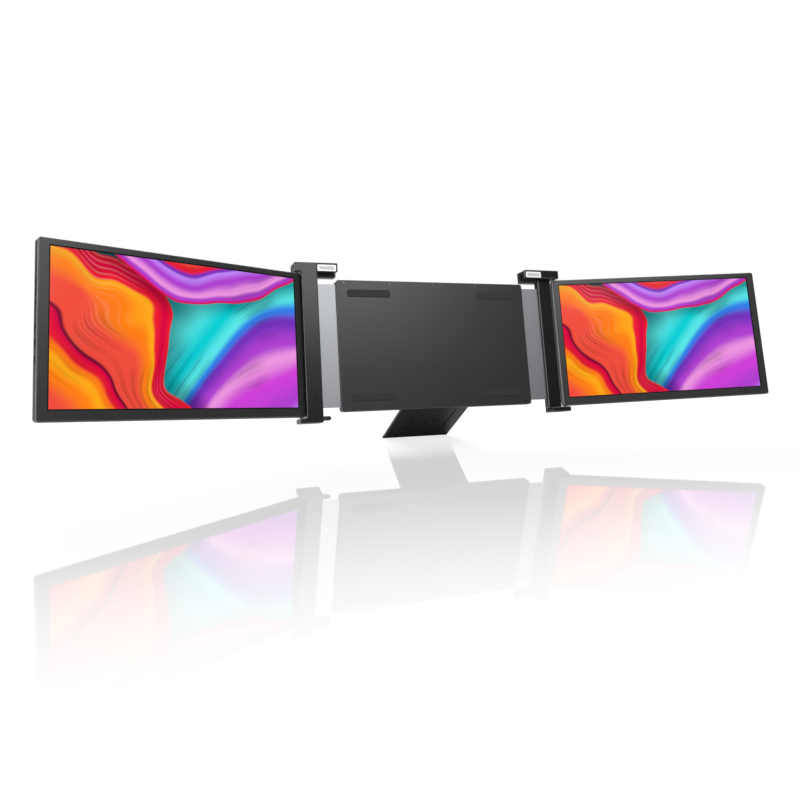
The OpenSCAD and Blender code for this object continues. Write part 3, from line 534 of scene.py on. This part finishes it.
def picture(name, place, low, high):
    """A lit panel: three sheets of silk, each a family of arcs about its own centre, with folds.

    With u across and v up in picture heights, a sheet's band is the distance from its centre, bent
    by slow noise. A ramp colours the band, a sine of it draws the folds, and each upper sheet ends
    at one band, where it throws a soft shade on what lies under it.
    """
    finish = Finish(name, PANEL, roughness=0.12)
    finish.set("Specular IOR Level", PANEL_SHINE)
    width = high[0] - low[0] - 2 * WINDOW_LAP
    height = high[2] - low[2] - 2 * WINDOW_LAP
    corner = low + np.array([WINDOW_LAP, 0, WINDOW_LAP])
    shift = Place(place.to_row([corner])[0], place.across, place.up)
    point = finish.coords(shift, (1 / height, 1 / height, 1 / height))
    u, _, v = finish.parts(point)
    slow = finish.noise(point, scale=1.0, detail=0.5, roughness=0.4) - 0.5
    quick = finish.noise(point, scale=2.3, detail=0.8, roughness=0.4) - 0.5

    def distance(x, z, flat):
        """Distance from (x, z), where flat times the height counts."""
        return ((u - x) ** 2 + (flat * (v - z)) ** 2) ** 0.5

    def folds(band, count, depth):
        """1 with fine dark lines along the band, in tufts where the noise is high."""
        line = (0.5 + 0.5 * (count * band + 6 * quick).sine()) ** 2
        finer = 0.5 + 0.5 * (2.6 * count * band + 11 * slow).sine()
        return 1 - depth * (0.65 * line + 0.35 * finer) * (2 * quick - slow).ease(-0.15, 0.30)

    def glints(band, count):
        """1 on thin bright threads along the band, in other tufts than the folds."""
        thread = (0.5 + 0.5 * (2.9 * count * band - 5 * quick).sine()) ** 4
        return thread * (2 * slow + quick).ease(-0.05, 0.35)

    def sheet(band, far, *stops, count, depth):
        """A silk sheet whose ramp ends at the band called far."""
        return finish.mix(folds(band, count, depth), BLACK, finish.ramp(band / far, *stops))

    def over(under, band, far, top, dark):
        """Lays a sheet that ends at far on what lies under it, with its shade beside its hem."""
        shaded = finish.mix(band.ease(far, far + HEM_SHADE, dark, 1.0), BLACK, under)
        return finish.mix(band.ease(far - HEM, far + HEM), top, shaded)

    ground = distance(x=2.30, z=-0.60, flat=1.10)
    ground = ground + 0.44 * slow + 0.09 * (4.1 * u - 2.6 * v).sine()
    ground_end = 2.5
    silk = sheet(ground, ground_end,
                 (0.00, TEAL), (0.28, TEAL), (0.33, CYAN), (0.36, NAVY), (0.375, LILAC),
                 (0.42, PURPLE), (0.49, MAGENTA), (0.535, ROSE), (0.56, PURPLE), (0.60, VIOLET),
                 (0.62, BLUE), (0.645, AQUA), (0.70, CYAN), (0.80, AQUA), (0.92, CYAN),
                 (1.00, TEAL), count=75, depth=0.34)

    fan = distance(x=-0.40, z=-0.25, flat=0.95)
    fan = fan + 0.42 * quick + 0.12 * (3.0 * v + 1.2 * u).sine()
    fan_end = 1.42
    fan_folds = 85
    warm = sheet(fan, fan_end,
                 (0.00, CORAL), (0.36, CORAL), (0.47, ORANGE), (0.55, AMBER), (0.60, ORANGE),
                 (0.635, RED), (0.67, CRIMSON), (0.685, WINE), (0.70, CORAL), (0.80, CORAL),
                 (0.87, ORANGE), (0.91, AMBER), (0.925, RED), (0.965, CRIMSON), (1.00, RED),
                 count=fan_folds, depth=0.36)
    warm = finish.mix(0.15 * glints(fan, fan_folds), warm, THREAD)
    silk = over(silk, fan, fan_end, warm, dark=0.45)

    veil = distance(x=1.02, z=1.72, flat=1.0)
    veil = veil + 0.34 * slow - 0.20 * quick + 0.05 * (6.0 * u).sine()
    veil_end = 1.0
    cool = sheet(veil, veil_end,
                 (0.00, CORAL), (0.66, CORAL), (0.74, RED), (0.78, VIOLET), (0.80, LILAC),
                 (0.86, PURPLE), (0.93, ROSE), (0.96, PURPLE), (1.00, CRIMSON),
                 count=80, depth=0.28)
    silk = over(silk, veil, veil_end, cool, dark=0.5)

    edge = PICTURE_BORDER / height
    lit = (u > edge) * (u < width / height - edge) * (v > edge) * (v < 1 - edge)
    finish.set("Emission Color", finish.mix(lit, BLACK, silk))
    finish.set("Emission Strength", 1.0)
    return finish.material


GREY = (0.0230, 0.0230, 0.0236)
GRAPHITE = (0.0060, 0.0060, 0.0064)
DARK = (0.0080, 0.0080, 0.0084)

finishes = {
    "shell": moulded("shell_grey", GREY, place=lid, wear_and_highlight=0.5),
    "shell_dark": moulded("cover_black", DARK, roughness=0.40, place=lid, wear_and_highlight=0.3),
    "steel": brushed("brushed_steel", (0.40, 0.41, 0.43), roughness=0.46),
    "rubber": rubber("grip_rubber"),
    "plate": moulded("plate_silver", (0.86, 0.86, 0.87), roughness=0.3, grain=1800, relief=0.05),
    "tray": brushed("tray_aluminium", (0.72, 0.73, 0.75)),
    "board": circuit_board("circuit_board"),
    "cable": moulded("cable_amber", (0.45, 0.18, 0.02)),
    "button": moulded("button_black", (0.012, 0.012, 0.0125), roughness=0.35),
    "nylon": moulded("washer_nylon", (0.70, 0.70, 0.68), roughness=0.5),
}
bracket_finish = moulded("bracket_graphite", GRAPHITE, roughness=0.26, place=lid, wear_and_highlight=0.8)
stand_finish = moulded("stand_grey", GREY, place=stand, wear_and_highlight=0.6)
screen_finish = {
    side: moulded(f"screen_grey_{side}", GREY, place=screens[side], wear_and_highlight=0.6) for side in SIDES
}
screw_finish = brushed("screw_black_zinc", (0.10, 0.10, 0.105), roughness=0.34)
inlay_finish = moulded("inlay_pearl", (0.50, 0.50, 0.52), roughness=0.45, grain=1500, relief=0.0)
gasket_finish = rubber("window_gasket", (0.006, 0.006, 0.0065))


def paint(node, material):
    """Gives every material slot of a CAD node that material."""
    for slot in frame["nodes"][node].material_slots:
        slot.material = material


for part in frame["record"]["subparts"]:
    node, slot = part["node"], part["material_slot"]
    if node.startswith("bracket_shell"):
        paint(node, bracket_finish)
    elif node == "kickstand_leg":
        paint(node, stand_finish)
    elif node.startswith(("bezel", "rear_cover")):
        paint(node, screen_finish[node.rsplit("_", 1)[1]])
    elif "_screws" in node:
        paint(node, screw_finish)
    elif slot != "glass":  # each display panel gets its picture below
        paint(node, finishes[slot])


# ---- Fine pieces ----

BEAD_STEPS = 12  # points round the bead of a gasket
GASKET_W = 0.55 * MM
GASKET_H = 0.6 * MM
GASKET_CORNER = 0.3 * MM
INLAY_SIDE = 2.4 * MM  # from the clip plate's ends to its inlay
INLAY_END = 2.0 * MM  # from the clip plate's top and bottom to its inlay
INLAY_CORNER = 0.8 * MM
INLAY_PROUD = 0.12 * MM
INLAY_SUNK = 0.1 * MM
INLAY_EDGE = 0.1 * MM
HINGE_GAP = 0.4 * MM  # between a beam's side wall and the round edge of its screen
BEAM_ROUNDING = 1.6 * MM
LIP_H = 0.3 * MM
LIP_END = 0.2 * MM  # from the ends of a lip to those of the screen
# Where the flat part of each beam's side wall starts, straight back from the lid's front face
LIP_FLAT = {"left": 3.7 * MM, "right": 7.6 * MM}
LIP_REACH = {"left": (0.0, 4.0 * MM), "right": (-2.2 * MM, 2.7 * MM)}
PAD_CORNER = 3.0 * MM
RIB_PITCH = 2.5 * MM
RIB_DEPTH = 0.25 * MM

for side in SIDES:
    place = screens[side]
    low, high = place.span(f"display_panel_{side}")
    paint(f"display_panel_{side}", picture(f"lit_picture_{side}", place, low, high))

    window = (low[0] + WINDOW_LAP, high[0] - WINDOW_LAP, low[2] + WINDOW_LAP, high[2] - WINDOW_LAP)
    turn = np.linspace(0, 2 * math.pi, BEAD_STEPS, endpoint=False)
    inset = GASKET_W / 2 * (1 + np.cos(turn))
    back = low[1] - GASKET_H / 2 * (1 + np.sin(turn))
    loop_piece(f"window_gasket_{side}", place, window, GASKET_CORNER, np.stack([inset, back], -1),
               body=f"screen_{side}", slot="shell_dark", material=gasket_finish)

    low, high = lid.span(f"clip_plate_{side}")
    inlay = (low[0] + INLAY_SIDE, high[0] - INLAY_SIDE, low[2] + INLAY_END, high[2] - INLAY_END)
    slab_piece(f"plate_inlay_{side}", lid, inlay, INLAY_CORNER,
               low[1] - INLAY_PROUD, low[1] + INLAY_SUNK, INLAY_EDGE,
               body=f"bracket_{side}", slot="plate", material=inlay_finish)

    low, high = place.span(f"rear_cover_{side}")
    sign = 1 if side == "right" else -1
    round_edge = low[0] if side == "right" else -high[0]
    wall = abs(place.origin[0]) + round_edge - HINGE_GAP
    pin_z = place.origin @ lid.up
    # Dark rubber lip in the gap between beam and screen: a seal, and a dark thing put there as painted shade of
    # the gap.
    lip_piece(f"beam_lip_{side}", sign, wall, LIP_FLAT[side], BEAM_ROUNDING, LIP_REACH[side], LIP_H,
              (pin_z + low[2] + LIP_END, pin_z + high[2] - LIP_END),
              body=f"bracket_{side}", slot="rubber", material=gasket_finish)

pad_points = lid.points("lid_pads")
pad_middle = (pad_points.min(0) + pad_points.max(0)) / 2
on_right = pad_points[:, 0] > pad_middle[0]
on_top = pad_points[:, 2] > pad_middle[2]
pads = []
for right in (False, True):
    for top in (False, True):
        one = pad_points[(on_right == right) & (on_top == top)]
        low, high = one.min(0), one.max(0)
        pads.append(ribbed_pad((low[0], high[0], low[2], high[2]), PAD_CORNER,
                               low[1], high[1], RIB_PITCH, RIB_DEPTH))
lid_pad_ribs = add_piece("lid_pad_ribs", lid, *joined(pads),
                         body="hub", slot="rubber", material=finishes["rubber"])
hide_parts("lid_pads")


# ---- Camera, light and floor ----

CAMERA_AT = (-0.4090, -0.9439, -0.0429)
CAMERA_TURN = 21.97  # degrees to the right of +Y
CAMERA_RISE = -2.22  # degrees above level
CAMERA_ROLL = 0.85  # degrees
CAMERA_FAR = 50.0
FOCAL = 33.45
SENSOR = 36.0
FRAME_SHIFT = (-0.0185, -0.085)

ROOM = 0.48  # light of the world on dull surfaces
DUSK = 0.10  # how dim its front looks in a shiny surface
DUSK_BACK = (-0.35, 0.15)  # where that turns to white, in the ray's share along +Y
FLAG = 0.15  # what is left of it behind a dark flag low on the left
FLAG_ACROSS = (-0.22, -0.12)
FLAG_UP = (0.10, 0.22)

FLOOR_Z = cad_box[0][2]
FLOOR_REACH = 30.0
FLOOR_WHITE = 0.9
FLOOR_LIFT = 0.52  # share of its own glow in the floor near the object
FLOOR_GLOW = 1.50
FLOOR_FADE = (0.9, 1.7)  # where the floor turns to plain white, away from the origin
FLOOR_DEPTH = 1.6  # how many times a distance along y counts there
MIRROR_ROUGHNESS = 0.03
MIRROR_FRONT = (-0.62, -0.24, 0.0, 0.34)  # y from, y to, share of mirror from, share to
MIRROR_BACK = (-0.12, 0.03, 0.36, 0.0)
MIRROR_SIDE = (0.65, 0.90, 1.0, 0.0)


def make_camera():
    """The camera of the main view: from the left, level with the upper part of the screens."""
    data = bpy.data.cameras.new("camera")
    data.lens = FOCAL
    data.sensor_width = SENSOR
    data.shift_x, data.shift_y = FRAME_SHIFT
    data.clip_end = CAMERA_FAR
    camera = bpy.data.objects.new("camera", data)
    bpy.context.scene.collection.objects.link(camera)
    turn = Matrix.Rotation(-math.radians(CAMERA_TURN), 4, "Z")
    rise = Matrix.Rotation(math.radians(90 + CAMERA_RISE), 4, "X")
    roll = Matrix.Rotation(math.radians(CAMERA_ROLL), 4, "Z")
    camera.matrix_world = Matrix.Translation(CAMERA_AT) @ turn @ rise @ roll
    bpy.context.scene.camera = camera


def soft_box(name, at, aim, width, height, glow, on_floor):
    """An area lamp facing a point; glow is how bright its face looks.

    The floor goes without its light where on_floor is False, so that it shows no image of the lamp.
    """
    data = bpy.data.lights.new(name, "AREA")
    data.shape = "RECTANGLE"
    data.size, data.size_y = width, height
    data.energy = glow * math.pi * width * height
    lamp = bpy.data.objects.new(name, data)
    bpy.context.scene.collection.objects.link(lamp)
    if not on_floor:
        spared = bpy.data.collections.new(f"{name}_spares")
        spared.objects.link(bpy.data.objects["floor"])
        spared.collection_objects[0].light_linking.link_state = "EXCLUDE"
        lamp.light_linking.receiver_collection = spared
    lamp.location = at
    lamp.rotation_euler = (Vector(aim) - Vector(at)).to_track_quat("-Z", "Y").to_euler()


def make_world():
    """Even grey light. Camera and glass rays see white.

    Mirror rays see white at the back and dusk in front, with a dark flag low on the left.
    """
    world = bpy.data.worlds.new("studio")
    world.use_nodes = True
    bpy.context.scene.world = world
    graph = Graph(world.node_tree)
    across, back, up = graph.parts(graph.node("ShaderNodeTexCoord", output="Generated"))
    mirrored = graph.ray("Glossy")
    seen = graph.seen()
    flag = across.ease(*FLAG_ACROSS, FLAG, 1.0).most(up.ease(*FLAG_UP))
    level = ROOM * (1 - mirrored) + mirrored * back.ease(*DUSK_BACK, DUSK, 1.0) * flag
    level = seen.most(level * (1 - seen))
    background = world.node_tree.nodes["Background"]
    background.inputs["Color"].default_value = (1, 1, 1, 1)
    graph.fill(background.inputs["Strength"], level)


def make_floor():
    """A wide white floor at the lowest point, with the object's shade and a faint mirror image."""
    mesh = bpy.data.meshes.new("floor")
    corners = [(x * FLOOR_REACH, y * FLOOR_REACH, FLOOR_Z)
               for x, y in ((-1, -1), (1, -1), (1, 1), (-1, 1))]
    mesh.from_pydata(corners, [], [(0, 1, 2, 3)])
    floor = bpy.data.objects.new("floor", mesh)
    bpy.context.scene.collection.objects.link(floor)
    finish = Finish("floor_white", (FLOOR_WHITE, FLOOR_WHITE, FLOOR_WHITE))
    across, back, _ = finish.parts(finish.coords())
    away = (across ** 2 + (FLOOR_DEPTH * back) ** 2) ** 0.5
    seen = finish.seen()
    dull = {"Color": (FLOOR_WHITE, FLOOR_WHITE, FLOOR_WHITE, 1.0)}
    lit = finish.node("ShaderNodeBsdfDiffuse", None, dull)
    near = finish.blend(FLOOR_LIFT * seen, lit, finish.glow(FLOOR_GLOW))
    clear = {"Color": (1, 1, 1, 1), "Roughness": MIRROR_ROUGHNESS}
    mirror = finish.node("ShaderNodeBsdfGlossy", None, clear)
    shine = back.ease(*MIRROR_FRONT).least(back.ease(*MIRROR_BACK))
    near = finish.blend(seen * shine * across.size().ease(*MIRROR_SIDE), near, mirror)
    far = finish.blend(seen, lit, finish.glow(1.0))
    surface = finish.blend(away.ease(*FLOOR_FADE), near, far)
    finish.fill(finish.tree.nodes["Material Output"].inputs["Surface"], surface)
    mesh.materials.append(finish.material)


make_camera()
make_world()
make_floor()
soft_box("front_box", at=(0.06, -1.20, 1.00), aim=(0.0, 0.0, -0.1),
         width=1.35, height=1.15, glow=3.6, on_floor=False)
soft_box("back_box", at=(-0.20, 1.70, 1.10), aim=(0.0, 0.0, -0.1),
         width=1.60, height=1.30, glow=3.0, on_floor=True)
soft_box("left_box", at=(-1.50, -0.60, 0.30), aim=(-0.2, 0.0, -0.1),
         width=0.80, height=1.20, glow=3.6, on_floor=False)

bpy.context.scene.view_settings.view_transform = "Standard"
